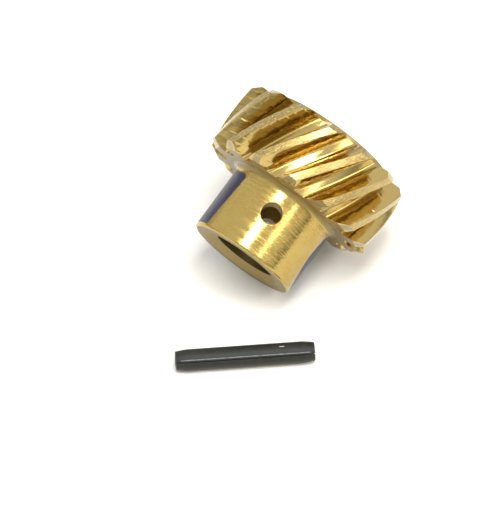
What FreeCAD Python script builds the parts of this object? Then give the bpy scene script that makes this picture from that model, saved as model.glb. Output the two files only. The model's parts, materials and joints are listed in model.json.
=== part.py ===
import FreeCAD, Part

import math
import os

# Helical drive gear with an integral hub, and the slotted spring pin that belongs in its cross-hole.
# Millimetres. World +Z is up, the table is z = 0, +X is right and +Y is away from the front.
# The gear is first built upright on its own axis: hub end at z = 0, cross-hole along +X.

# ---- gear: driving dimensions -------------------------------------------------------------------
BORE_D = 12.7             # through bore for the shaft, 1/2 in
BORE_MOUTH = (1.85, 1.1)  # shallow countersink at the hub end: radial, axial
BORE_BREAK = 0.3          # 45 degree break at the far mouth
HUB_D = 21.0
HUB_LENGTH = 13.75        # hub end to the gear's hub-side face
HUB_EDGE_BREAK = 0.45
HUB_FILLET = 1.2          # hub to gear face
TIP_D = 35.0
FACE_WIDTH = 13.5
SHOULDER_D = 26.0         # low thrust shoulder on the far face
SHOULDER_HEIGHT = 0.85
SHOULDER_BREAK = 0.2
HUB_SIDE_CHAMFER = (1.7, 0.92)   # tooth-end chamfer on the hub side: radial, axial
FAR_SIDE_CHAMFER = (1.1, 1.1)    # tooth-end chamfer on the far side: radial, axial

# ---- gear: tooth data ---------------------------------------------------------------------------
TEETH = 14
LEAD = 147.0              # axial length of one full turn, right-hand helix
PITCH_D = 31.3
NORMAL_PRESSURE_ANGLE = 17.5
DEDENDUM = 2.3
ROOT_FILLET = 0.55
TOOTH_PHASE = -1.4        # from the cross-hole to a tooth centre, at the top of the hub-side chamfer

# ---- cross-hole and pin -------------------------------------------------------------------------
CROSS_HOLE_D = 3.9
CROSS_HOLE_Z = 8.35       # from the hub end
CROSS_HOLE_BREAK = 0.15
PIN_D = 3.97              # 5/32 in slotted spring pin
PIN_LENGTH = 25.4         # 1 in
PIN_WALL = 0.8
PIN_SLOT = 0.22
PIN_TAPER = (0.27, 2.2)   # lead-in at both ends: radial, axial

# ---- how the pieces lie on the table ------------------------------------------------------------
GEAR_HEADING = 49.4       # from +X, towards +Y, of the axis seen from above
HOLE_FROM_TOP = 24.7      # roll of the cross-hole about the axis, from straight up
HUB_END_XY = (-8.635, -5.01)  # centre of the hub end, seen from above; centres both pieces on the origin
PIN_FROM_HUB_END = (0.65, -17.56)  # middle of the pin, seen from above
PIN_HEADING = 5.4
PIN_SLOT_ELEVATION = 30.5  # direction that the slot faces, above the horizontal, on the front side

Z_AXIS = FreeCAD.Vector(0, 0, 1)
ORIGIN = FreeCAD.Vector(0, 0, 0)


def polar(radius, angle, z=0.0):
    """Point at a radius and an angle in radians."""
    return FreeCAD.Vector(radius * math.cos(angle), radius * math.sin(angle), z)


def turned(points):
    """Solid of revolution about Z from closed (radius, z) points; a ("arc", mid, end) entry is an arc."""
    edges = []
    here = FreeCAD.Vector(points[0][0], 0, points[0][1])
    for entry in points[1:] + [points[0]]:
        if entry[0] == "arc":
            middle = FreeCAD.Vector(entry[1][0], 0, entry[1][1])
            end = FreeCAD.Vector(entry[2][0], 0, entry[2][1])
            edges.append(Part.Arc(here, middle, end).toShape())
        else:
            end = FreeCAD.Vector(entry[0], 0, entry[1])
            edges.append(Part.makeLine(here, end))
        here = end
    face = Part.Face(Part.Wire(edges))
    return face.revolve(ORIGIN, Z_AXIS, 360)


def gear_blank():
    """Turned blank: hub, gear rim with chamfered corners, thrust shoulder and the bore."""
    bore = BORE_D / 2
    hub = HUB_D / 2
    tip = TIP_D / 2
    shoulder = SHOULDER_D / 2
    far = HUB_LENGTH + FACE_WIDTH
    top = far + SHOULDER_HEIGHT
    sag = HUB_FILLET * (1 - math.sqrt(0.5))
    return turned([
        (bore + BORE_MOUTH[0], 0),
        (hub - HUB_EDGE_BREAK, 0),
        (hub, HUB_EDGE_BREAK),
        (hub, HUB_LENGTH - HUB_FILLET),
        ("arc", (hub + sag, HUB_LENGTH - sag), (hub + HUB_FILLET, HUB_LENGTH)),
        (tip - HUB_SIDE_CHAMFER[0], HUB_LENGTH),
        (tip, HUB_LENGTH + HUB_SIDE_CHAMFER[1]),
        (tip, far - FAR_SIDE_CHAMFER[1]),
        (tip - FAR_SIDE_CHAMFER[0], far),
        (shoulder, far),
        (shoulder, top - SHOULDER_BREAK),
        (shoulder - SHOULDER_BREAK, top),
        (bore + BORE_BREAK, top),
        (bore, top - BORE_BREAK),
        (bore, BORE_MOUTH[1]),
    ])


def involute_offset(base, radius):
    """Polar angle that an involute has turned through at this radius."""
    alpha = math.acos(base / radius)
    return math.tan(alpha) - alpha


def gap_section(z):
    """Closed wire of one tooth space in the transverse plane, centred on +X, with involute flanks."""
    pitch = PITCH_D / 2
    root = pitch - DEDENDUM
    outside = TIP_D / 2 + 1.0
    helix = math.atan(math.pi * PITCH_D / LEAD)
    pressure = math.atan(math.tan(math.radians(NORMAL_PRESSURE_ANGLE)) / math.cos(helix))
    base = pitch * math.cos(pressure)
    half_gap_at_base = math.pi / (2 * TEETH) - involute_offset(base, pitch)
    steps = 8
    flank = []
    for i in range(steps + 1):
        radius = base + (outside - base) * i / steps
        flank.append((radius, half_gap_at_base + involute_offset(base, radius)))
    fillet = ROOT_FILLET
    fillet_angle = half_gap_at_base - fillet / (root + fillet)
    corner = math.sqrt(0.5)
    bend = (root + fillet * (1 - corner), half_gap_at_base - fillet * (1 - corner) / root)

    def side(sign):
        curve = Part.BSplineCurve()
        curve.interpolate([polar(r, sign * a, z) for r, a in flank])
        wall = Part.makeLine(polar(root + fillet, sign * half_gap_at_base, z),
                             polar(base, sign * half_gap_at_base, z))
        bottom = Part.Arc(polar(root, sign * fillet_angle, z),
                          polar(bend[0], sign * bend[1], z),
                          polar(root + fillet, sign * half_gap_at_base, z)).toShape()
        return bottom, wall, curve.toShape()

    left = side(1)
    right = side(-1)
    floor = Part.Arc(polar(root, -fillet_angle, z), polar(root, 0, z), polar(root, fillet_angle, z))
    over = Part.Arc(polar(outside, -flank[-1][1], z), polar(outside, 0, z), polar(outside, flank[-1][1], z))
    ordered = Part.sortEdges([*left, *right, floor.toShape(), over.toShape()])[0]
    return Part.Wire(ordered)


def gap_cutter(first_z, last_z):
    """One tooth space carried up the right-hand helix from first_z to last_z."""
    spine = Part.makeHelix(LEAD, last_z - first_z, PITCH_D / 2)
    spine.translate(FreeCAD.Vector(0, 0, first_z))
    sweep = Part.BRepOffsetAPI.MakePipeShell(Part.Wire(spine.Edges))
    sweep.setFrenetMode(True)
    sweep.add(gap_section(first_z), False, False)
    sweep.build()
    sweep.makeSolid()
    return sweep.shape()


def helical_gear():
    body = gear_blank()
    hole = Part.makeCylinder(CROSS_HOLE_D / 2, HUB_D + 4,
                             FreeCAD.Vector(-HUB_D / 2 - 2, 0, CROSS_HOLE_Z), FreeCAD.Vector(1, 0, 0))
    body = body.cut(hole)
    rims = []
    for edge in body.Edges:
        box = edge.BoundBox
        around_hole = abs(box.ZLength - CROSS_HOLE_D) < 0.01 and abs(box.YLength - CROSS_HOLE_D) < 0.01
        on_outside = min(abs(box.XMax), abs(box.XMin)) > BORE_D / 2 + 1
        if around_hole and on_outside:
            rims.append(edge)
    body = body.makeChamfer(CROSS_HOLE_BREAK, rims)

    first_z = HUB_LENGTH - 1.5
    last_z = HUB_LENGTH + FACE_WIDTH + 1.5
    turn_at_start = 360.0 * (first_z - HUB_LENGTH - HUB_SIDE_CHAMFER[1]) / LEAD
    cutter = gap_cutter(first_z, last_z)
    cutters = []
    for tooth in range(TEETH):
        angle = TOOTH_PHASE + (tooth + 0.5) * 360.0 / TEETH + turn_at_start
        one = cutter.copy()
        one.rotate(ORIGIN, Z_AXIS, angle)
        cutters.append(one)
    return body.cut(cutters)


def spring_pin():
    """Rolled tube along Z, centred on the origin, with tapered ends and a slot that faces +X."""
    outer = PIN_D / 2
    inner = outer - PIN_WALL
    half = PIN_LENGTH / 2
    lead, run = PIN_TAPER
    tube = turned([
        (inner, -half),
        (outer - lead, -half),
        (outer, -half + run),
        (outer, half - run),
        (outer - lead, half),
        (inner, half),
    ])
    slot = Part.makeBox(PIN_D, PIN_SLOT, PIN_LENGTH + 2, FreeCAD.Vector(0, -PIN_SLOT / 2, -half - 1))
    return tube.cut(slot)


def resting_tilt():
    """Angle of the gear's axis to the table when it lies on its hub edge and one tooth corner."""
    rise = (TIP_D - HUB_D) / 2
    run = HUB_LENGTH + HUB_SIDE_CHAMFER[1] - HUB_EDGE_BREAK
    return math.atan2(rise, run)


def lay_down_gear(shape):
    tilt = resting_tilt()
    shape.rotate(ORIGIN, Z_AXIS, 180 + HOLE_FROM_TOP)
    shape.rotate(ORIGIN, FreeCAD.Vector(0, 1, 0), 90 - math.degrees(tilt))
    shape.rotate(ORIGIN, Z_AXIS, GEAR_HEADING)
    height = HUB_D / 2 * math.cos(tilt) - HUB_EDGE_BREAK * math.sin(tilt)
    shape.translate(FreeCAD.Vector(HUB_END_XY[0], HUB_END_XY[1], height))
    return shape


def lay_down_pin(shape):
    shape.rotate(ORIGIN, Z_AXIS, -90 - PIN_SLOT_ELEVATION)
    shape.rotate(ORIGIN, FreeCAD.Vector(0, 1, 0), 90)
    shape.rotate(ORIGIN, Z_AXIS, PIN_HEADING)
    x = HUB_END_XY[0] + PIN_FROM_HUB_END[0]
    y = HUB_END_XY[1] + PIN_FROM_HUB_END[1]
    shape.translate(FreeCAD.Vector(x, y, PIN_D / 2))
    return shape


def export(name, shape):
    if not shape.isValid() or len(shape.Solids) != 1:
        raise ValueError(f"{name}: valid {shape.isValid()}, solids {len(shape.Solids)}")
    shape.Solids[0].exportStep(f"parts/{name}.step")
    print(name, "volume", round(shape.Volume, 2), "mm3", "faces", len(shape.Faces))


os.makedirs("parts", exist_ok=True)
export("helical_gear", lay_down_gear(helical_gear()))
export("spring_pin", lay_down_pin(spring_pin()))
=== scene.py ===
import json
import math

import bmesh
import bpy
import numpy as np
from mathutils import Matrix, Vector


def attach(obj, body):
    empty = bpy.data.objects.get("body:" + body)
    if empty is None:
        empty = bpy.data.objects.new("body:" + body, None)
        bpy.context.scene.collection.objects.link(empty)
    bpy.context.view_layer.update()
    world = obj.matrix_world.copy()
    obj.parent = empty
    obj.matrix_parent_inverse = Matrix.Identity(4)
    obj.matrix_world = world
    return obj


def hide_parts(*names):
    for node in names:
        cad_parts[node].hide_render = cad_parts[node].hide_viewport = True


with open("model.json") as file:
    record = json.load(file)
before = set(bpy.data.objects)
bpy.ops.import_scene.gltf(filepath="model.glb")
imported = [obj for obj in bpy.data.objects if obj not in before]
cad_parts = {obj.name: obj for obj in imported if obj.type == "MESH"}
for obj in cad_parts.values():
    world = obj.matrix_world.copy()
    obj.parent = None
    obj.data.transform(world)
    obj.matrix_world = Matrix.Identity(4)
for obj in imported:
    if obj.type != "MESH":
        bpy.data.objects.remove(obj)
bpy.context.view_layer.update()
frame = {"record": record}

# ---- sizes, in millimetres, the same as the CAD part's ------------------------------------------
BORE_R = 6.35
BORE_MOUTH = (1.85, 1.1)
BORE_BREAK = 0.3
HUB_R = 10.5
HUB_LENGTH = 13.75
HUB_EDGE_BREAK = 0.45
HUB_FILLET = 1.2
TIP_R = 17.5
FACE_WIDTH = 13.5
FAR = HUB_LENGTH + FACE_WIDTH
SHOULDER_R = 13.0
SHOULDER_HEIGHT = 0.85
SHOULDER_BREAK = 0.2
TOTAL = FAR + SHOULDER_HEIGHT
HUB_SIDE_CHAMFER = (1.7, 0.92)
FAR_SIDE_CHAMFER = (1.1, 1.1)
TEETH = 14
LEAD = 147.0
PITCH_R = 15.65
PRESSURE_ANGLE = 17.5
ROOT_R = PITCH_R - 2.3
ROOT_FILLET = 0.55
TOOTH_PHASE = -1.4
CROSS_HOLE_R = 1.95
CROSS_HOLE_Z = 8.35
PIN_R = 1.985
PIN_LENGTH = 25.4
PIN_WALL = 0.8
PIN_SLOT = 0.22
PIN_TAPER = (0.27, 2.2)
PIN_SLOT_ELEVATION = 30.5

# ---- surface detail that the CAD part leaves out, in millimetres --------------------------------
TIP_ROUNDING = 0.13       # worn corner between a tooth's land and its flanks
FEED = 1.7                # distance between hob feed marks along a tooth
FEED_DEPTH = (0.012, 0.030)  # least, and how much deeper the deepest marks are
FEED_SLANT = 0.35         # how far a feed mark leans along the tooth, for each millimetre of its height
FEED_MARKS = 32           # different feed marks along one flank
FLAT = 1.25               # height of the flats that the hob leaves down a flank
FLAT_TILT = 0.05          # steepest slope of a flat, along the tooth and down the flank
FLATS = 4                 # different flats down one flank
MARK_START = (0.3, 0.4)   # height above the root where the marks begin, and over which they grow
LAND_ROUGHNESS = 0.012
ON_LAND = 0.05            # points of the profile this close to the tip circle are roughened
LAND_WAVES = (40, 260)    # most ups and downs of the roughness: along the teeth, and round the gear
NOISE_WAVES = 24          # random waves that are added up into it
ROW_STEP = 0.08           # between the mesh rows along the teeth
SHOULDER_FOOT = (0.1, 0.06)  # softened corner where the shoulder meets the far face: radial, axial
HOLE_BREAK = 0.16         # hand-broken rim of the cross-hole on the outside, radial and axial
HOLE_BREAK_MIDDLE = (0.06, 0.05)  # its middle: beyond the hole, and below the hub's surface

# ---- seeds of the random draws ------------------------------------------------------------------
FEED_PHASE_SEED = 3
FEED_DEPTH_SEED = 4
LAND_SEED = 5
FLAT_SEED = 8

# ---- how finely the mesh is divided -------------------------------------------------------------
LAND_STEPS = 4
TIP_STEPS = (0.3, 0.6, 1.0)
FLANK_STEPS = 14
ROOT_STEPS = 5
FLOOR_STEPS = 3
MOUTH_STEPS = (0.25, 0.5, 0.75, 1.0)
FACE_STEPS = 8
EDGE_STEPS = 4
HUB_STEPS = 55
FILLET_STEPS = 8
BORE_STEPS = 60
HOLE_STEPS = 96
PIN_OUTER_STEPS = 120
PIN_INNER_STEPS = 80
PIN_ROWS = 60
GEAR_SHARP_DEGREES = 28
PIN_SHARP_DEGREES = 35

MM = 0.001
mounts = {m["name"]: m for m in frame["record"]["mounts"]}


# ---- the gear's own axes ------------------------------------------------------------------------
def gear_axes():
    """Matrix from the gear's millimetres (hub end at z = 0, cross-hole along x) to the row frame."""
    axis = Vector(mounts["shaft_bore"]["axis"]).normalized()
    hole = Vector(mounts["cross_hole"]["axis"]).normalized()
    side = axis.cross(hole)
    middle = (BORE_MOUTH[1] + TOTAL - BORE_BREAK) / 2
    origin = Vector(mounts["shaft_bore"]["pos_m"]) - axis * (middle * MM)
    turn = Matrix((hole, side, axis)).transposed()
    return turn.to_4x4(), origin


GEAR_TURN, GEAR_ORIGIN = gear_axes()
GEAR_MATRIX = Matrix.Translation(GEAR_ORIGIN) @ GEAR_TURN @ Matrix.Scale(MM, 4)


# ---- tooth profile ------------------------------------------------------------------------------
HELIX = math.atan(math.pi * 2 * PITCH_R / LEAD)


def involute_offset(base, radius):
    """Angle that an involute has turned through at this radius."""
    alpha = math.acos(min(1.0, base / radius))
    return math.tan(alpha) - alpha


def half_tooth():
    """(radius, angle, kind) points from the middle of a land to the middle of the next tooth space."""
    pressure = math.atan(math.tan(math.radians(PRESSURE_ANGLE)) / math.cos(HELIX))
    base = PITCH_R * math.cos(pressure)
    angle_at_base = math.pi / (2 * TEETH) + involute_offset(base, PITCH_R)

    def flank_angle(radius):
        if radius <= base:
            return angle_at_base
        return angle_at_base - involute_offset(base, radius)

    corner_angle = flank_angle(TIP_R)
    land_end = corner_angle - TIP_ROUNDING / TIP_R
    points = []
    for i in range(LAND_STEPS + 1):
        points.append((TIP_R, land_end * i / LAND_STEPS, "land"))
    low = TIP_R - TIP_ROUNDING
    for t in TIP_STEPS:
        start, bend, end = (1 - t) ** 2, 2 * t * (1 - t), t * t
        radius = (start + bend) * TIP_R + end * low
        angle = start * land_end + bend * corner_angle + end * flank_angle(low)
        points.append((radius, angle, "flank"))
    bottom = ROOT_R + ROOT_FILLET
    for i in range(1, FLANK_STEPS + 1):
        radius = low + (bottom - low) * i / FLANK_STEPS
        points.append((radius, flank_angle(radius), "flank"))
    for i in range(1, ROOT_STEPS + 1):
        a = math.pi / 2 * i / ROOT_STEPS
        radius = bottom - ROOT_FILLET * math.sin(a)
        angle = flank_angle(bottom) + ROOT_FILLET * (1 - math.cos(a)) / ROOT_R
        points.append((radius, angle, "flank"))
    last = points[-1][1]
    middle = math.pi / TEETH
    for i in range(1, FLOOR_STEPS + 1):
        points.append((ROOT_R, last + (middle - last) * i / FLOOR_STEPS, "flank"))
    return points


def whole_profile():
    """Arrays round the gear: radius, angle, flank sign (+1, -1, 0 on a land) and tooth number."""
    half = half_tooth()
    radius, angle, side, tooth = [], [], [], []
    for t in range(TEETH):
        centre = 2 * math.pi * t / TEETH
        for r, a, kind in half[:0:-1]:
            radius.append(r)
            angle.append(centre - a)
            side.append(-1 if kind == "flank" else 0)
            tooth.append(t)
        for r, a, kind in half[:-1]:
            radius.append(r)
            angle.append(centre + a)
            side.append(1 if kind == "flank" else 0)
            tooth.append(t)
    return np.array(radius), np.array(angle), np.array(side), np.array(tooth)


def blank_radius(z):
    """Radius of the turned blank at height z along the toothed rim."""
    if z < HUB_LENGTH + HUB_SIDE_CHAMFER[1]:
        return TIP_R - HUB_SIDE_CHAMFER[0] * (1 - (z - HUB_LENGTH) / HUB_SIDE_CHAMFER[1])
    if z > FAR - FAR_SIDE_CHAMFER[1]:
        return TIP_R - FAR_SIDE_CHAMFER[0] * (1 - (FAR - z) / FAR_SIDE_CHAMFER[1])
    return TIP_R


def smooth_noise(shape, most_waves, seed):
    """Seeded smooth noise on a grid, periodic along both axes, about -1 to 1."""
    source = np.random.default_rng(seed)
    height = np.zeros(shape)
    y = np.linspace(0, 2 * math.pi, shape[0], endpoint=False)[:, None]
    x = np.linspace(0, 2 * math.pi, shape[1], endpoint=False)[None, :]
    for _ in range(NOISE_WAVES):
        waves_y = source.integers(1, most_waves[0] + 1)
        waves_x = source.integers(1, most_waves[1] + 1)
        phase = source.uniform(0, 2 * math.pi)
        height += np.cos(waves_y * y + waves_x * x * source.choice((-1, 1)) + phase)
    return height / math.sqrt(NOISE_WAVES)


# ---- the gear's mesh ----------------------------------------------------------------------------
SURFACES = ("turned", "faced", "flank", "land", "bore")
BESIDE_HUB = (12.2, 12.9)     # radii of the rings between the fillet and the foot of the teeth


def helix_turn(z):
    """How far the tooth profile has turned at height z, in radians."""
    datum = HUB_LENGTH + HUB_SIDE_CHAMFER[1]
    return math.radians(TOOTH_PHASE) + 2 * math.pi * (z - datum) / LEAD


def hub_outline():
    """(radius, height, surface) from the bore's mouth over the hub to the foot of the teeth."""
    mouth = BORE_R + BORE_MOUTH[0]
    edge = HUB_R - HUB_EDGE_BREAK
    fillet = HUB_LENGTH - HUB_FILLET
    points = []
    for t in MOUTH_STEPS:
        points.append((BORE_R + BORE_MOUTH[0] * t, BORE_MOUTH[1] * (1 - t), "faced"))
    for r in np.linspace(mouth, edge, FACE_STEPS + 1)[1:]:
        points.append((r, 0, "faced"))
    for a in np.linspace(0, math.pi / 2, EDGE_STEPS + 1)[1:]:
        points.append((edge + HUB_EDGE_BREAK * math.sin(a), HUB_EDGE_BREAK * (1 - math.cos(a)), "turned"))
    for z in np.linspace(HUB_EDGE_BREAK, fillet, HUB_STEPS + 1)[1:]:
        points.append((HUB_R, z, "turned"))
    for a in np.linspace(0, math.pi / 2, FILLET_STEPS + 1)[1:]:
        points.append((HUB_R + HUB_FILLET * (1 - math.cos(a)), fillet + HUB_FILLET * math.sin(a), "turned"))
    for r in BESIDE_HUB:
        points.append((r, HUB_LENGTH, "faced"))
    return points


def far_outline():
    """(radius, height, surface) from the teeth over the thrust shoulder to the bore's far mouth."""
    crest = SHOULDER_R - SHOULDER_BREAK
    sag = SHOULDER_BREAK * 0.3
    points = [
        (SHOULDER_R + SHOULDER_FOOT[0], FAR, "faced"),
        (SHOULDER_R, FAR + SHOULDER_FOOT[1], "turned"),
        (SHOULDER_R, TOTAL - SHOULDER_BREAK, "turned"),
        (SHOULDER_R - sag, TOTAL - sag, "turned"),
        (crest, TOTAL, "faced"),
    ]
    for r in np.linspace(crest, BORE_R + BORE_BREAK, FACE_STEPS + 1)[1:]:
        points.append((r, TOTAL, "faced"))
    points.append((BORE_R, TOTAL - BORE_BREAK, "bore"))
    return points


def hob_marks():
    """Seeded marks of each flank: their phase, the depth of each, and the tilts of its flats."""
    flanks = 2 * TEETH
    phase = np.random.default_rng(FEED_PHASE_SEED).uniform(0, 1, flanks)
    spread = np.random.default_rng(FEED_DEPTH_SEED).uniform(0, 1, (flanks, FEED_MARKS)) ** 2
    depth = FEED_DEPTH[0] + FEED_DEPTH[1] * spread
    tilt = FLAT_TILT * np.random.default_rng(FLAT_SEED).uniform(-1, 1, (2, flanks, FEED_MARKS, FLATS))
    return phase, depth, tilt


def tooth_rings(radius, angle, side, tooth):
    """Rings up the toothed rim. The hob's marks are only ever cut into the flanks, never added."""
    heights = np.linspace(HUB_LENGTH, FAR, round(FACE_WIDTH / ROW_STEP) + 1)
    land_noise = smooth_noise((len(heights), len(radius)), LAND_WAVES, LAND_SEED)
    phase, depth, tilt = hob_marks()
    flank = tooth * 2 + (side > 0)
    rings = []
    for z, noise in zip(heights, land_noise):
        top = blank_radius(z)
        r = np.minimum(radius, top)
        above_root = r - ROOT_R
        place = (z / math.cos(HELIX) + above_root * FEED_SLANT) / FEED + phase[flank]
        level = above_root / FLAT + phase[flank]
        mark = np.floor(place).astype(int) % FEED_MARKS
        flat = np.floor(level).astype(int) % FLATS
        across = place % 1.0
        down = level % 1.0
        along_tilt, down_tilt = tilt[:, flank, mark, flat]
        hollow = depth[flank, mark] * (1 - (2 * across - 1) ** 6)
        hollow += (along_tilt * (across - 0.5) + abs(along_tilt) / 2) * FEED
        hollow += (down_tilt * (down - 0.5) + abs(down_tilt) / 2) * FLAT
        fade = np.clip((above_root - MARK_START[0]) / MARK_START[1], 0, 1)
        cut = np.where((side != 0) & (radius < top), hollow * fade, 0)
        turn = angle + helix_turn(z) - side * cut / r
        pits = np.where(radius >= TIP_R - ON_LAND, LAND_ROUGHNESS * noise, 0)
        rings.append((r + np.minimum(pits, 0), np.full(len(r), z), turn, "teeth"))
    return rings


def gear_rings():
    """Rings (radii, heights, angles, surface) over the outside from the bore's mouth, and back down it."""
    radius, angle, side, tooth = whole_profile()

    def round_ring(r, z, turn_z, surface):
        return np.full(len(angle), r), np.full(len(angle), z), angle + helix_turn(turn_z), surface

    rings = [round_ring(r, z, HUB_LENGTH, surface) for r, z, surface in hub_outline()]
    rings += tooth_rings(radius, angle, side, tooth)
    rings += [round_ring(r, z, FAR, surface) for r, z, surface in far_outline()]
    far_mouth = TOTAL - BORE_BREAK
    for t in np.linspace(0, 1, BORE_STEPS + 1)[1:]:
        z = far_mouth + (BORE_MOUTH[1] - far_mouth) * t
        rings.append(round_ring(BORE_R, z, FAR + (HUB_LENGTH - FAR) * t, "bore"))
    return rings, side


def build_gear():
    rings, side = gear_rings()
    count = len(side)
    points = []
    for r, z, a, _ in rings:
        points.append(np.stack([r * np.cos(a), r * np.sin(a), z], axis=1))
    points = np.concatenate(points)
    faces = []
    kinds = []
    for row in range(len(rings)):
        after = (row + 1) % len(rings)
        surface = rings[after][3]
        if surface == "teeth" and rings[row][3] != "teeth":
            surface = "faced"
        for c in range(count):
            d = (c + 1) % count
            faces.append((row * count + c, row * count + d, after * count + d, after * count + c))
            if surface == "teeth":
                kind = "flank" if side[c] != 0 and side[d] != 0 else "land"
            else:
                kind = surface
            kinds.append(SURFACES.index(kind))
    mesh = bpy.data.meshes.new("helical_gear_body")
    mesh.from_pydata(points.tolist(), [], faces)
    mesh.polygons.foreach_set("material_index", np.array(kinds, np.int32))
    mesh.update()
    return mesh


# ---- the cross-hole -----------------------------------------------------------------------------
HOLE_MARGIN = 0.35        # how far beyond the rim the hub's own faces give way to new ones
ON_WALL = 0.02            # a face this close to a wall's radius belongs to it
COINCIDENT = 0.0001       # closer points are one point


def hole_angle(vertex):
    """Angle of a vertex about the cross-hole's axis."""
    return math.atan2(vertex.co.z - CROSS_HOLE_Z, vertex.co.y)


def ring_loop(edges):
    """Vertices of a closed loop of edges, in order."""
    nearby = {}
    for e in edges:
        for v in e.verts:
            nearby.setdefault(v, []).append(e.other_vert(v))
    first = edges[0].verts[0]
    loop = [first]
    before, here = None, first
    while True:
        following = [v for v in nearby[here] if v is not before][0]
        if following is first:
            return loop
        loop.append(following)
        before, here = here, following


def from_zero(loop):
    """The loop in rising order of angle, starting at the smallest, and its angles."""
    angles = np.unwrap([hole_angle(v) for v in loop])
    if angles[-1] < angles[0]:
        loop = loop[::-1]
        angles = angles[::-1]
    start = int(np.argmin(angles % (2 * math.pi)))
    loop = loop[start:] + loop[:start]
    angles = np.array([hole_angle(v) % (2 * math.pi) for v in loop])
    return loop, np.maximum.accumulate(angles)


def zip_loops(bm, outer, inner, surface):
    """Triangles between two loops round the cross-hole, matched by angle."""
    a, a_angle = from_zero(outer)
    b, b_angle = from_zero(inner)
    i = j = 0
    while i < len(a) or j < len(b):
        next_a = a_angle[i + 1] if i + 1 < len(a) else a_angle[0] + 2 * math.pi
        next_b = b_angle[j + 1] if j + 1 < len(b) else b_angle[0] + 2 * math.pi
        if j >= len(b) or (i < len(a) and next_a <= next_b):
            corners = (a[i % len(a)], a[(i + 1) % len(a)], b[j % len(b)])
            i += 1
        else:
            corners = (a[i % len(a)], b[(j + 1) % len(b)], b[j % len(b)])
            j += 1
        if len(set(corners)) == 3:
            face = bm.faces.new(corners)
            face.material_index = SURFACES.index(surface)


def hole_ring(bm, sign, radius, wall_radius):
    """New vertices where a cylinder about the hole's axis meets a cylinder about the gear's axis."""
    ring = []
    for i in range(HOLE_STEPS):
        a = 2 * math.pi * i / HOLE_STEPS
        y = radius * math.cos(a)
        x = math.sqrt(wall_radius ** 2 - y * y)
        ring.append(bm.verts.new((sign * x, y, CROSS_HOLE_Z + radius * math.sin(a))))
    return ring


def open_wall(bm, sign, wall_radius, rim, surface):
    """Opens one wall round the hole, with a clean ring at the rim. Gives the ring's vertices."""
    doomed = set()
    for face in bm.faces:
        centre = face.calc_center_median()
        on_wall = abs(math.hypot(centre.x, centre.y) - wall_radius) < ON_WALL
        distance = math.hypot(centre.y, centre.z - CROSS_HOLE_Z)
        if on_wall and centre.x * sign > 0 and distance < rim + HOLE_MARGIN:
            doomed.add(face)
    edges = {e for face in doomed for e in face.edges}
    border = [e for e in edges if any(face not in doomed for face in e.link_faces)]
    outer = ring_loop(border)
    bmesh.ops.delete(bm, geom=list(doomed), context="FACES_ONLY")
    inner = hole_ring(bm, sign, rim, wall_radius)
    zip_loops(bm, outer, inner, surface)
    for e in [e for e in edges if e.is_valid and not e.link_faces]:
        bm.edges.remove(e)
    return inner


def drill(mesh):
    """Cuts the cross-hole through both walls of the hub, with a hand-broken rim outside."""
    bm = bmesh.new()
    bm.from_mesh(mesh)
    bmesh.ops.remove_doubles(bm, verts=bm.verts, dist=COINCIDENT)
    below_rim = HUB_R - HOLE_BREAK
    for sign in (1, -1):
        outside = open_wall(bm, sign, HUB_R, CROSS_HOLE_R + HOLE_BREAK, "turned")
        inside = open_wall(bm, sign, BORE_R, CROSS_HOLE_R, "bore")
        beyond, below = HOLE_BREAK_MIDDLE
        rings = [outside, hole_ring(bm, sign, CROSS_HOLE_R + beyond, HUB_R - below)]
        for t in (0.0, 0.33, 0.66):
            rings.append(hole_ring(bm, sign, CROSS_HOLE_R, below_rim + (BORE_R - below_rim) * t))
        rings.append(inside)
        for upper, lower in zip(rings[:-1], rings[1:]):
            for i in range(HOLE_STEPS):
                j = (i + 1) % HOLE_STEPS
                face = bm.faces.new((upper[i], upper[j], lower[j], lower[i]))
                face.material_index = SURFACES.index("bore")
    loose = [v for v in bm.verts if not v.link_faces]
    bmesh.ops.delete(bm, geom=loose, context="VERTS")
    bmesh.ops.recalc_face_normals(bm, faces=bm.faces)
    bm.to_mesh(mesh)
    bm.free()


def finish_mesh(mesh, matrix, sharp_degrees):
    mesh.transform(matrix)
    mesh.polygons.foreach_set("use_smooth", np.ones(len(mesh.polygons), bool))
    mesh.set_sharp_from_angle(angle=math.radians(sharp_degrees))
    mesh.update()


def add_object(name, mesh, materials):
    obj = bpy.data.objects.new(name, mesh)
    bpy.context.scene.collection.objects.link(obj)
    for m in materials:
        mesh.materials.append(m)
    return obj


# ---- the pin's mesh -----------------------------------------------------------------------------
SLOT_SOFTENING = 0.03     # worn corner of the slot
END_ROUNDING = (0.06, 0.08)  # at the pin's ends: radial, and axial as a share of the taper
END_BREAK = (0.05, 0.1)   # inside the pin's ends: radial, axial
TAPER_BEND = 1.3          # how much faster the taper falls towards the end
TAPER_STEPS = (0.0, 0.03, 0.08, 0.2, 0.4, 0.6, 0.8, 0.92, 1.0, 1.12, 1.3)


def pin_outline(outer, inner):
    """Closed outline across the rolled tube, slot facing +x, with softened slot edges."""
    half_slot = PIN_SLOT / 2
    soft = SLOT_SOFTENING
    sag = soft * 0.3
    start = math.asin((half_slot + soft) / outer)
    points = []
    for i in range(PIN_OUTER_STEPS + 1):
        a = start + (2 * math.pi - 2 * start) * i / PIN_OUTER_STEPS
        points.append((outer * math.cos(a), outer * math.sin(a)))
    reach = math.sqrt(outer ** 2 - half_slot ** 2)
    depth = math.sqrt(inner ** 2 - half_slot ** 2)
    points.append((reach - sag, -half_slot - sag))
    points.append((reach - soft, -half_slot))
    points.append((depth + soft, -half_slot))
    inner_start = math.asin(half_slot / inner)
    for i in range(PIN_INNER_STEPS + 1):
        a = 2 * math.pi - inner_start - (2 * math.pi - 2 * inner_start) * i / PIN_INNER_STEPS
        points.append((inner * math.cos(a), inner * math.sin(a)))
    points.append((reach - soft, half_slot))
    points.append((reach - sag, half_slot + sag))
    return points


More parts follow.
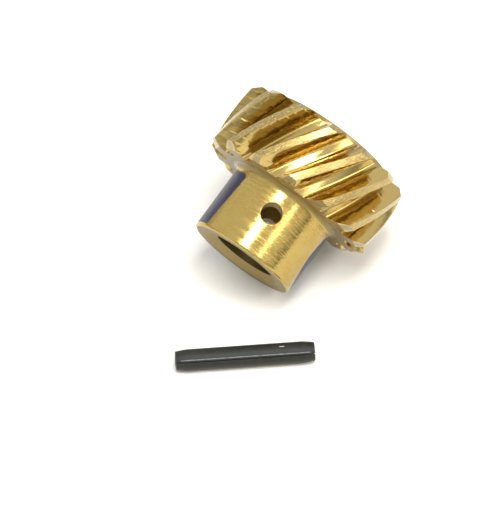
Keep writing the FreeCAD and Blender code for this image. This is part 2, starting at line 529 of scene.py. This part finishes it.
def pin_stations():
    """(distance from the middle, outer radius) from one end of the pin to the other."""
    half = PIN_LENGTH / 2
    lead, run = PIN_TAPER
    taper = []
    for t in TAPER_STEPS:
        rounding = END_ROUNDING[0] * max(0.0, 1 - t / END_ROUNDING[1])
        taper.append((-half + run * t, PIN_R - lead * max(0.0, 1 - t) ** TAPER_BEND - rounding))
    straight = half - run * 1.5
    plain = [(along, PIN_R) for along in np.linspace(-straight, straight, PIN_ROWS)]
    return taper + plain + [(-along, radius) for along, radius in taper[::-1]]


def end_cap(count):
    """Corners, as places in the outline, of the faces that close an end of the tube."""
    first_inner = PIN_OUTER_STEPS + 4
    last_inner = first_inner + PIN_INNER_STEPS
    caps = []
    for i in range(PIN_OUTER_STEPS):
        near = last_inner - round(i * PIN_INNER_STEPS / PIN_OUTER_STEPS)
        far = last_inner - round((i + 1) * PIN_INNER_STEPS / PIN_OUTER_STEPS)
        caps.append([i, i + 1, far] if near == far else [i, i + 1, far, near])
    caps.append(list(range(PIN_OUTER_STEPS, first_inner + 1)))
    caps.append([0, last_inner, count - 2, count - 1])
    return caps


def build_pin():
    sections = []
    for along, radius in pin_stations():
        from_end = PIN_LENGTH / 2 - abs(along)
        hollow = PIN_R - PIN_WALL + END_BREAK[0] * max(0.0, 1 - from_end / END_BREAK[1])
        sections.append([(x, y, along) for x, y in pin_outline(radius, hollow)])
    count = len(sections[0])
    points = [p for section in sections for p in section]
    faces = []
    for row in range(len(sections) - 1):
        for c in range(count):
            d = (c + 1) % count
            faces.append((row * count + c, row * count + d, (row + 1) * count + d, (row + 1) * count + c))
    last = (len(sections) - 1) * count
    for cap in end_cap(count):
        faces.append(cap[::-1])
        faces.append([last + k for k in cap])
    mesh = bpy.data.meshes.new("spring_pin_body")
    mesh.from_pydata(points, [], faces)
    bm = bmesh.new()
    bm.from_mesh(mesh)
    bmesh.ops.recalc_face_normals(bm, faces=bm.faces)
    bm.to_mesh(mesh)
    bm.free()
    return mesh


def pin_matrix():
    """From the pin's millimetres (along z, slot facing x) to the row frame."""
    mount = mounts["pin_outside"]
    along = Vector(mount["axis"]).normalized()
    front = Vector((along.y, -along.x, 0))
    lift = math.radians(PIN_SLOT_ELEVATION)
    slot = front * math.cos(lift) + Vector((0, 0, math.sin(lift)))
    turn = Matrix((slot, along.cross(slot), along)).transposed().to_4x4()
    return Matrix.Translation(Vector(mount["pos_m"])) @ turn @ Matrix.Scale(MM, 4)


PIN_MATRIX = pin_matrix()


# ---- shader helpers -----------------------------------------------------------------------------
class Nodes:
    """Short names for building a material's node tree."""

    def __init__(self, name):
        self.material = bpy.data.materials.new(name)
        self.material.use_nodes = True
        self.tree = self.material.node_tree
        self.shader = self.tree.nodes["Principled BSDF"]

    def node(self, kind, **settings):
        made = self.tree.nodes.new(kind)
        for key, value in settings.items():
            setattr(made, key, value)
        return made

    def put(self, socket, value):
        """Links another node's output to a socket, or gives it a fixed value."""
        if isinstance(value, bpy.types.NodeSocket):
            self.tree.links.new(value, socket)
        elif value is not None:
            socket.default_value = value

    def math(self, operation, a, b=None):
        made = self.node("ShaderNodeMath", operation=operation)
        for socket, value in zip(made.inputs, (a, b)):
            self.put(socket, value)
        return made.outputs[0]

    def plus(self, a, b):
        return self.math("ADD", a, b)

    def minus(self, a, b):
        return self.math("SUBTRACT", a, b)

    def times(self, a, b):
        return self.math("MULTIPLY", a, b)

    def apart(self, a, b):
        """Distance between two values."""
        return self.math("ABSOLUTE", self.minus(a, b))

    def length(self, x, y):
        return self.math("SQRT", self.plus(self.times(x, x), self.times(y, y)))

    def ramp(self, value, low, high, to_low=0.0, to_high=1.0, smooth=True):
        """Takes low..high to to_low..to_high (0..1 if not given), level outside that range."""
        made = self.node("ShaderNodeMapRange", interpolation_type="SMOOTHSTEP" if smooth else "LINEAR")
        for key, item in (("Value", value), ("From Min", low), ("From Max", high),
                          ("To Min", to_low), ("To Max", to_high)):
            self.put(made.inputs[key], item)
        return made.outputs[0]

    def mix(self, factor, a, b):
        """Colour a where the factor is 0, colour b where it is 1."""
        made = self.node("ShaderNodeMix", data_type="RGBA")
        self.put(made.inputs[0], factor)
        for socket, value in ((made.inputs[6], a), (made.inputs[7], b)):
            self.put(socket, value if isinstance(value, bpy.types.NodeSocket) else (*value, 1.0))
        return made.outputs[2]

    def noise(self, vector, scale, detail=2.0, roughness=0.5):
        made = self.node("ShaderNodeTexNoise")
        self.put(made.inputs["Vector"], vector)
        self.put(made.inputs["Scale"], scale)
        self.put(made.inputs["Detail"], detail)
        self.put(made.inputs["Roughness"], roughness)
        return made.outputs["Fac"]

    def streaks(self, x, y, z, detail=2.0, roughness=0.5):
        """Noise over three values that run at different rates, which draws it out into streaks."""
        made = self.node("ShaderNodeCombineXYZ")
        for socket, value in zip(made.inputs, (x, y, z)):
            self.put(socket, value)
        return self.noise(made.outputs[0], 1.0, detail, roughness)

    def local(self, matrix):
        """The surface point in a piece's own millimetres: (vector, x, y, z)."""
        coordinates = self.node("ShaderNodeTexCoord").outputs["Object"]
        back = matrix.inverted()
        mapping = self.node("ShaderNodeMapping", vector_type="POINT")
        self.put(mapping.inputs["Vector"], coordinates)
        mapping.inputs["Location"].default_value = back.to_translation()
        mapping.inputs["Rotation"].default_value = back.to_euler("XYZ")
        mapping.inputs["Scale"].default_value = (1 / MM, 1 / MM, 1 / MM)
        split = self.node("ShaderNodeSeparateXYZ")
        self.put(split.inputs[0], mapping.outputs[0])
        return mapping.outputs[0], split.outputs[0], split.outputs[1], split.outputs[2]

    def bump(self, height, depth, below=None, strength=1.0):
        """Relief this many millimetres deep, on top of the relief below."""
        made = self.node("ShaderNodeBump")
        self.put(made.inputs["Height"], height)
        self.put(made.inputs["Distance"], depth * MM)
        self.put(made.inputs["Strength"], strength)
        if below is not None:
            self.put(made.inputs["Normal"], below)
        return made.outputs[0]

    def gloss(self, level):
        """How strongly the parts that aren't metal shine; 0.5 is usual."""
        self.shader.inputs["Specular IOR Level"].default_value = level

    def coat(self, weight, roughness):
        """Thin clear film over the whole surface."""
        self.shader.inputs["Coat Weight"].default_value = weight
        self.shader.inputs["Coat Roughness"].default_value = roughness

    def finish(self, colour, roughness, metallic, normal):
        self.put(self.shader.inputs["Base Color"], colour)
        self.put(self.shader.inputs["Roughness"], roughness)
        self.put(self.shader.inputs["Metallic"], metallic)
        self.put(self.shader.inputs["Normal"], normal)
        return self.material


# ---- bronze -------------------------------------------------------------------------------------
BRONZE_PLAIN = (0.475, 0.350, 0.098)
BRONZE_WARM = (0.46, 0.31, 0.082)
BRONZE_PALE = (0.53, 0.42, 0.18)
BRONZE_HOBBED = (0.50, 0.36, 0.112)
HOLE_WALL = (0.60, 0.48, 0.27)
LAND_WORN = (0.72, 0.62, 0.40)
# painted shade on the hub end's face
FACE_SHADE = (0.25, 0.225, 0.165)
# painted shade on the faces beside the hub and in the hub's fillet; the tan one shows where stained
SHADE_BROWN = (0.20, 0.135, 0.038)
SHADE_TAN = (0.31, 0.225, 0.085)
# dirt in the lands' pits, and painted shade in the bore, on the hub end, on one side of the hub, in the
# tooth roots and on the hub-side chamfer
GRIME_AND_SHADE = (0.15, 0.115, 0.045)
INK = (0.016, 0.015, 0.036)
INK_PALE = (0.034, 0.031, 0.072)
INK_ROUGHNESS = 0.38
COAT = {                        # thin film of oil on each surface: weight and roughness
    "turned": (0.15, 0.12),
    "faced": (0.15, 0.12),
    "bore": (0.35, 0.12),
    "flank": (0.6, 0.15),
    "land": (0.75, 0.18),
}
LEFT_INK = (-55.5, 0.68)        # edge in degrees: at the hub end, and its slant per millimetre
RIGHT_INK = (71.0, 0.28, 6.6)   # edge in degrees where it reaches furthest, its bend, and that height
INK_START = 0.55                # bare metal below this height at the hub end
INK_EDGE = 0.7                  # half of the soft edge's width, in degrees
INK_CORNER = 9.0                # degrees over which the left patch's far corner is rounded off
INK_WANDER = 0.04               # waviness of the edges, in radians


class Bronze(Nodes):
    """What all the bronze surfaces share: place on the gear, clouds, stains and fine smears."""

    def __init__(self, surface):
        super().__init__("bronze_" + surface)
        self.point, x, y, self.z = self.local(GEAR_MATRIX)
        self.radius = self.length(x, y)
        self.angle = self.math("ARCTAN2", y, x)
        self.cloud = self.noise(self.point, 0.35, 3.0, 0.6)
        self.stain = self.noise(self.point, 1.6, 4.0, 0.65)
        self.fine = self.noise(self.point, 9.0, 3.0, 0.6)
        colour = self.mix(self.ramp(self.cloud, 0.35, 0.7), BRONZE_PLAIN, BRONZE_WARM)
        self.colour = self.mix(self.ramp(self.stain, 0.45, 0.8, 0.0, 0.5), colour, BRONZE_PALE)
        self.smear = self.ramp(self.fine, 0.3, 0.75, -0.03, 0.05)

    def lathe(self, pattern, turning, rising, detail=2.0, roughness=0.5):
        """Streaks round the axis: which pattern, and how fast it changes with the angle and the height."""
        turn = self.times(self.angle, turning)
        height = self.times(self.z, rising)
        return self.streaks(pattern, turn, height, detail, roughness)


def ink_mask(n):
    """Two patches of marking ink on the hub: 1 under the ink, 0 on bare metal."""
    wander = n.times(n.minus(n.noise(n.point, 1.2, 3.0), 0.5), INK_WANDER)
    degrees = n.times(n.plus(n.angle, wander), 180 / math.pi)
    along = n.minus(n.z, INK_START)
    from_left = n.minus(degrees, n.plus(LEFT_INK[0], n.times(along, LEFT_INK[1])))
    left = n.ramp(from_left, -INK_EDGE, INK_EDGE, 1.0, 0.0)
    from_bend = n.minus(along, RIGHT_INK[2])
    bow = n.times(n.times(from_bend, from_bend), RIGHT_INK[1])
    right = n.ramp(n.minus(degrees, n.plus(RIGHT_INK[0], bow)), -INK_EDGE, INK_EDGE)
    round_off = n.ramp(from_left, -INK_CORNER, 0.0, 0.0, 0.9, smooth=False)
    corner = n.times(n.times(round_off, round_off), left)
    limit = n.minus(HUB_LENGTH - HUB_FILLET - 0.2, corner)
    end = n.ramp(n.minus(n.z, limit), -0.2, 0.2, 1.0, 0.0)
    start = n.ramp(n.z, INK_START, INK_START + 0.2)
    return n.times(n.times(n.math("MAXIMUM", left, right), end), start)


def turned_finish(n):
    """Lathe grooves, waves, scratches and chatter, brushed streaks, painted shade on the side by the
    right-hand ink patch and in the fillet, and the ink.
    """
    grooves = n.lathe(pattern=0.0, turning=0.8, rising=7.0, detail=3.0, roughness=0.7)
    waves = n.lathe(pattern=3.0, turning=0.5, rising=1.4)
    scratches = n.ramp(n.lathe(pattern=7.0, turning=2.6, rising=16.0), 0.56, 0.72)
    chatter = n.lathe(pattern=19.0, turning=7.0, rising=2.0, detail=3.0, roughness=0.6)
    normal = n.bump(grooves, 0.010)
    normal = n.bump(waves, 0.008, normal)
    normal = n.bump(scratches, 0.010, normal)
    normal = n.bump(chatter, 0.036, normal)
    rubbed = n.lathe(pattern=11.0, turning=1.8, rising=2.6, detail=4.0, roughness=0.75)
    brushed = n.times(n.ramp(rubbed, 0.42, 0.60, 0.0, 0.22), n.ramp(n.cloud, 0.35, 0.65, 0.5, 1.0))
    bare = n.plus(n.plus(0.09, brushed), n.smear)
    # painted shade: this side of the hub darkened to tone down its reflection of the table
    side_shade = n.ramp(n.angle, 0.55, 0.78, 0.0, 0.14)
    colour = n.mix(side_shade, n.colour, GRIME_AND_SHADE)
    # painted shade in the fillet where the hub meets the gear's face
    fillet = n.ramp(n.z, HUB_LENGTH - HUB_FILLET, HUB_LENGTH - 0.35)
    colour = n.mix(n.times(fillet, 0.8), colour, SHADE_BROWN)
    ink = ink_mask(n)
    dried = n.streaks(n.times(n.angle, 9.0), 0.0, n.times(n.z, 0.6), 3.0, 0.6)
    colour = n.mix(ink, colour, n.mix(n.ramp(dried, 0.35, 0.7), INK, INK_PALE))
    no_ink = n.minus(1.0, ink)
    metallic = n.times(no_ink, n.ramp(fillet, 0.0, 1.0, 1.0, 0.2))
    roughness = n.plus(n.times(bare, no_ink), n.times(ink, INK_ROUGHNESS))
    n.gloss(0.2)
    return colour, roughness, metallic, normal


def bore_finish(n):
    """Bore with painted shade, strongest at the hub end and lighter towards the far end, and the pale wall
    of the cross-hole.
    """
    swirl = n.lathe(pattern=0.0, turning=0.8, rising=5.0, detail=3.0, roughness=0.7)
    roughness = n.plus(n.ramp(swirl, 0.3, 0.7, 0.34, 0.5), n.smear)
    # painted shade in the bore, strongest near the hub end's mouth, and a little on the cross-hole's wall
    deep = n.ramp(n.z, 4.5, 7.5, 0.9, 0.25)
    colour = n.mix(n.ramp(n.radius, BORE_R + 0.02, BORE_R + 0.3, deep, 0.1), n.colour, GRIME_AND_SHADE)
    past_bore = n.ramp(n.radius, BORE_R + 0.3, BORE_R + 1.0)
    wall = n.times(past_bore, n.ramp(n.radius, HUB_R - 0.8, HUB_R - 0.4, 1.0, 0.0))
    colour = n.mix(wall, colour, HOLE_WALL)
    return colour, roughness, n.ramp(wall, 0.0, 1.0, 1.0, 0.4), n.bump(swirl, 0.010)


def faced_finish(n):
    """Flat faces: painted shade and more roughness on the hub end, painted shade mottled by stains beside
    the hub, clean on the far side.
    """
    groove = n.streaks(n.times(n.radius, 8.0), n.times(n.angle, 0.5), 0.0, 2.0, 0.6)
    mouth = BORE_R + BORE_MOUTH[0]
    ring = n.ramp(n.radius, mouth - 0.1, mouth + 0.1)
    hub_end = n.ramp(n.z, HUB_LENGTH * 0.3, HUB_LENGTH * 0.4, 1.0, 0.0)
    # painted shade on the hub end's face, standing in for its reflection of the shaded table; the same mask
    # also makes the face rougher
    oxide = n.times(n.ramp(ring, 0.0, 1.0, 0.55, 1.0), hub_end)
    roughness = n.plus(n.ramp(oxide, 0.0, 1.0, 0.3, 0.66), n.smear)
    colour = n.mix(n.times(oxide, 0.7), n.colour, FACE_SHADE)
    # a little more painted shade on the hub end, most on the flat ring outside the countersink
    end_shade = n.ramp(ring, 0.0, 1.0, 0.05, 0.16)
    colour = n.mix(n.times(end_shade, hub_end), colour, GRIME_AND_SHADE)
    # painted shade on the faces beside the hub, mottled by stains, with less metal shine
    beside = n.times(n.minus(1.0, hub_end), n.ramp(n.z, HUB_LENGTH + 0.3, HUB_LENGTH + 0.6, 1.0, 0.0))
    stained_shade = n.mix(n.ramp(n.stain, 0.35, 0.7), SHADE_BROWN, SHADE_TAN)
    colour = n.mix(n.times(beside, 0.9), colour, stained_shade)
    n.gloss(0.15)
    return colour, roughness, n.ramp(beside, 0.0, 1.0, 1.0, 0.08), n.bump(groove, 0.006)


def flank_finish(n):
    """Hobbed flanks: fine grooves, and painted shade towards the root."""
    lane = n.plus(n.times(n.z, 2.0), n.times(n.radius, 0.8))
    groove = n.streaks(n.times(lane, 3.0), n.times(n.angle, 2.0), 0.0, 3.0, 0.6)
    normal = n.bump(n.fine, 0.010, n.bump(groove, 0.008))
    roughness = n.plus(n.ramp(groove, 0.3, 0.7, 0.06, 0.18), n.smear)
    colour = n.mix(0.75, n.colour, BRONZE_HOBBED)
    # painted shade in the tooth spaces, towards the root
    colour = n.mix(n.ramp(n.radius, ROOT_R, ROOT_R + 1.8, 0.12, 0.0), colour, GRIME_AND_SHADE)
    return colour, roughness, 1.0, normal


def land_finish(n):
    """Tooth tops: pitted and darker in the pits, with pale worn chips and painted shade on the chamfer on
    the hub side.
    """
    pit = n.noise(n.point, 2.8, 5.0, 0.75)
    chip = n.noise(n.point, 5.5, 3.0, 0.6)
    normal = n.bump(n.ramp(chip, 0.55, 0.68), 0.06, n.bump(pit, 0.085))
    roughness = n.plus(n.ramp(pit, 0.3, 0.7, 0.06, 0.14), n.smear)
    colour = n.mix(n.ramp(pit, 0.42, 0.58, 0.40, 0.0), n.colour, GRIME_AND_SHADE)
    colour = n.mix(n.ramp(chip, 0.52, 0.66, 0.0, 0.55), colour, LAND_WORN)
    top = HUB_LENGTH + HUB_SIDE_CHAMFER[1]
    # painted shade on the chamfer at the hub side, which faces the table
    colour = n.mix(n.ramp(n.z, top - 0.2, top, 0.45, 0.0), colour, GRIME_AND_SHADE)
    return colour, roughness, 1.0, normal


FINISHES = {
    "turned": turned_finish,
    "faced": faced_finish,
    "flank": flank_finish,
    "land": land_finish,
    "bore": bore_finish,
}


def bronze(surface):
    """Bronze as it was last cut: turned, faced, flank (hobbed), land or bore."""
    n = Bronze(surface)
    n.coat(*COAT[surface])
    return n.finish(*FINISHES[surface](n))


# ---- black steel --------------------------------------------------------------------------------
OXIDE = (0.015, 0.0155, 0.012)
OXIDE_PALE = (0.023, 0.0235, 0.018)
OXIDE_SPECK = (0.04, 0.04, 0.033)
# painted reflection of the table on the pin's lower side
PAINTED_TABLE_REFLECTION = (0.055, 0.052, 0.040)
# painted highlight along the pin, standing in for the lamp's reflection
STEEL_HIGHLIGHT = (0.165, 0.185, 0.21)
STEEL_RIM = (0.20, 0.19, 0.17)
STEEL_NICK = (0.52, 0.50, 0.43)
# painted light on the slot's walls, softening the shade in the narrow slot
SLOT_PAINTED_LIGHT = (0.085, 0.085, 0.08)
HIGHLIGHT_LINE = (-14.0, 4.5)  # degrees round from the slot, and half of its width
NICK = (-57.0, 6.7)       # degrees round from the slot, and millimetres along from the middle


def black_steel():
    """Black oxide on a rolled spring pin, worn to bare steel at the rims, with a painted highlight along
    one line, a painted reflection of the table on its lower side and painted light on the slot's walls.
    """
    n = Nodes("black_oxide_steel")
    point, x, y, z = n.local(PIN_MATRIX)
    angle = n.math("ARCTAN2", y, x)
    degrees = n.times(angle, 180 / math.pi)
    radius = n.length(x, y)
    from_middle = n.math("ABSOLUTE", z)
    end = PIN_LENGTH / 2
    drawn = n.streaks(n.times(degrees, 0.16), 0.0, n.times(z, 0.25), 4.0, 0.65)
    blotch = n.streaks(n.times(degrees, 0.08), 2.0, n.times(z, 1.3), 4.0, 0.7)
    cloud = n.noise(point, 0.9, 3.0, 0.6)
    fine = n.noise(point, 7.0, 3.0, 0.7)
    colour = n.mix(n.ramp(cloud, 0.35, 0.7), OXIDE, OXIDE_PALE)
    colour = n.mix(n.ramp(fine, 0.62, 0.8), colour, OXIDE_SPECK)
    # painted reflection of the table: the pin's lower side lightened
    colour = n.mix(n.ramp(degrees, 20.0, 70.0, 0.0, 0.85), colour, PAINTED_TABLE_REFLECTION)

    # painted highlight: a bright, patchy line along the pin that fades out before the ends
    line = n.ramp(n.apart(degrees, HIGHLIGHT_LINE[0]), HIGHLIGHT_LINE[1] * 0.3, HIGHLIGHT_LINE[1], 1.0, 0.0)
    worn = n.times(line, n.ramp(blotch, 0.3, 0.62, 0.35, 1.0))
    worn = n.times(worn, n.ramp(from_middle, end - 1.1, end - 0.7, 1.0, 0.0))
    colour = n.mix(worn, colour, STEEL_HIGHLIGHT)
    rim = n.times(n.ramp(from_middle, end - 0.16, end - 0.02, 0.0, 0.6), n.ramp(fine, 0.35, 0.6, 0.3, 1.0))
    colour = n.mix(rim, colour, STEEL_RIM)
    nick = n.times(n.ramp(n.apart(degrees, NICK[0]), 1.5, 4.0, 1.0, 0.0),
                   n.ramp(n.apart(z, NICK[1]), 0.3, 0.55, 1.0, 0.0))
    colour = n.mix(n.times(nick, n.ramp(fine, 0.3, 0.5, 0.4, 1.0)), colour, STEEL_NICK)

    off_slot = n.math("ABSOLUTE", n.times(radius, n.math("SINE", angle)))
    in_slot = n.ramp(off_slot, PIN_SLOT / 2 + 0.01, PIN_SLOT / 2 + 0.03, 1.0, 0.0)
    below_surface = n.ramp(radius, PIN_R - 0.06, PIN_R - 0.02, 1.0, 0.0)
    # painted light: the slot's walls lighter than the oxide
    colour = n.mix(n.times(in_slot, n.times(n.ramp(x, 0.0, 0.5), below_surface)), colour, SLOT_PAINTED_LIGHT)
    normal = n.bump(fine, 0.006, n.bump(drawn, 0.01))
    n.gloss(0.4)
    return n.finish(colour, n.ramp(cloud, 0.3, 0.7, 0.5, 0.6), 0.25, normal)


# ---- table --------------------------------------------------------------------------------------
TABLE = (0.835, 0.82, 0.775)
TABLE_PALE = (0.855, 0.84, 0.795)
TABLE_REACH = 3.0         # from the middle to each edge, in metres
TABLE_GRAIN = 900.0       # grains to the metre


def pale_table():
    n = Nodes("pale_table")
    coordinates = n.node("ShaderNodeTexCoord").outputs["Object"]
    grain = n.noise(coordinates, TABLE_GRAIN, 3.0, 0.6)
    colour = n.mix(n.ramp(grain, 0.3, 0.7), TABLE, TABLE_PALE)
    return n.finish(colour, 0.7, 0.0, n.bump(grain, 0.02, strength=0.3))


# ---- pieces -------------------------------------------------------------------------------------
gear_mesh = build_gear()
drill(gear_mesh)
finish_mesh(gear_mesh, GEAR_MATRIX, GEAR_SHARP_DEGREES)
gear = add_object("gear_body", gear_mesh, [bronze(s) for s in SURFACES])
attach(gear, "gear")
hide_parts("helical_gear")

pin_mesh = build_pin()
finish_mesh(pin_mesh, PIN_MATRIX, PIN_SHARP_DEGREES)
pin = add_object("pin_body", pin_mesh, [black_steel()])
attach(pin, "pin")
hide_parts("spring_pin")

floor_corners = [(x * TABLE_REACH, y * TABLE_REACH, 0) for x, y in ((-1, -1), (1, -1), (1, 1), (-1, 1))]
floor_mesh = bpy.data.meshes.new("table_top")
floor_mesh.from_pydata(floor_corners, [], [(0, 1, 2, 3)])
floor = add_object("table_top", floor_mesh, [pale_table()])


# ---- camera -------------------------------------------------------------------------------------
CAMERA_ELEVATION = 45.66
CAMERA_DISTANCE = 0.8
VIEW_HEIGHT = 0.09445     # what the picture's longer side covers at the gear, in metres
AIM_FROM_HUB_END = (1.56, 0.31)  # right and up in the picture, in millimetres
SENSOR = 36.0


def add_camera():
    lift = math.radians(CAMERA_ELEVATION)
    right = Vector((1, 0, 0))
    up = Vector((0, math.sin(lift), math.cos(lift)))
    back = Vector((0, -math.cos(lift), math.sin(lift)))
    aim = GEAR_ORIGIN + right * (AIM_FROM_HUB_END[0] * MM) + up * (AIM_FROM_HUB_END[1] * MM)
    data = bpy.data.cameras.new("camera")
    data.sensor_width = SENSOR
    data.lens = SENSOR * CAMERA_DISTANCE / VIEW_HEIGHT
    camera = bpy.data.objects.new("camera", data)
    turn = Matrix((right, up, back)).transposed().to_4x4()
    camera.matrix_world = Matrix.Translation(aim + back * CAMERA_DISTANCE) @ turn
    bpy.context.scene.collection.objects.link(camera)
    bpy.context.scene.camera = camera


add_camera()


# ---- light --------------------------------------------------------------------------------------
LIGHT_DISTANCE = 0.9      # from the origin, in metres
COOL_WHITE = (1.0, 0.99, 0.98)
WARM_WHITE = (1.0, 0.95, 0.86)
SOFTBOXES = (  # name, direction, size across and along the gear's axis, power, colour, shift
    ("front_top", (0.011, -0.376, 0.927), (0.24, 0.40), 5.4, COOL_WHITE, 0.07),
    ("right_low", (0.510, -0.597, 0.619), (0.12, 0.52), 1.05, WARM_WHITE, 0.21),
    ("right_mid", (0.628, -0.399, 0.668), (0.30, 0.20), 0.8, WARM_WHITE, 0.0),
    ("right_far", (0.825, -0.369, 0.428), (0.45, 0.20), 0.95, WARM_WHITE, 0.08),
)
SKY_STRENGTH = 1.30
SKY_LEVEL = 0.20          # grey at the horizon
SKY_MIDDLE = (0.12, 0.40)  # height of the direction, and grey there
SKY_TOP = (0.35, 0.80)    # the same, where the sky stops getting lighter


def softbox(name, direction, size, power, colour, shift):
    """Area light that faces the origin, its height turned along the gear's axis and shifted that way."""
    data = bpy.data.lights.new(name, "AREA")
    data.shape = "RECTANGLE"
    data.size, data.size_y = size
    data.energy = power
    data.color = colour
    light = bpy.data.objects.new(name, data)
    axis = GEAR_TURN.to_3x3() @ Vector((0, 0, 1))

    def across(towards):
        return (axis - towards * axis.dot(towards)).normalized()

    towards = Vector(direction).normalized()
    towards = (towards + across(towards) * shift).normalized()
    along = across(towards)
    turn = Matrix((along.cross(towards), along, towards)).transposed().to_4x4()
    light.matrix_world = Matrix.Translation(towards * LIGHT_DISTANCE) @ turn
    bpy.context.scene.collection.objects.link(light)


for box in SOFTBOXES:
    softbox(*box)


def sky():
    """Soft white surroundings, darker close to the horizon."""
    world = bpy.data.worlds.new("studio")
    world.use_nodes = True
    tree = world.node_tree
    background = tree.nodes["Background"]
    coordinates = tree.nodes.new("ShaderNodeTexCoord")
    split = tree.nodes.new("ShaderNodeSeparateXYZ")
    tree.links.new(coordinates.outputs["Generated"], split.inputs[0])
    ramp = tree.nodes.new("ShaderNodeValToRGB")
    tree.links.new(split.outputs[2], ramp.inputs[0])
    horizon, top = ramp.color_ramp.elements
    horizon.color = (SKY_LEVEL, SKY_LEVEL, SKY_LEVEL, 1)
    top.position = SKY_TOP[0]
    top.color = (SKY_TOP[1], SKY_TOP[1], SKY_TOP[1], 1)
    middle = ramp.color_ramp.elements.new(SKY_MIDDLE[0])
    middle.color = (SKY_MIDDLE[1], SKY_MIDDLE[1], SKY_MIDDLE[1], 1)
    tree.links.new(ramp.outputs[0], background.inputs["Color"])
    background.inputs["Strength"].default_value = SKY_STRENGTH
    bpy.context.scene.world = world


sky()
bpy.context.scene.view_settings.view_transform = "Standard"
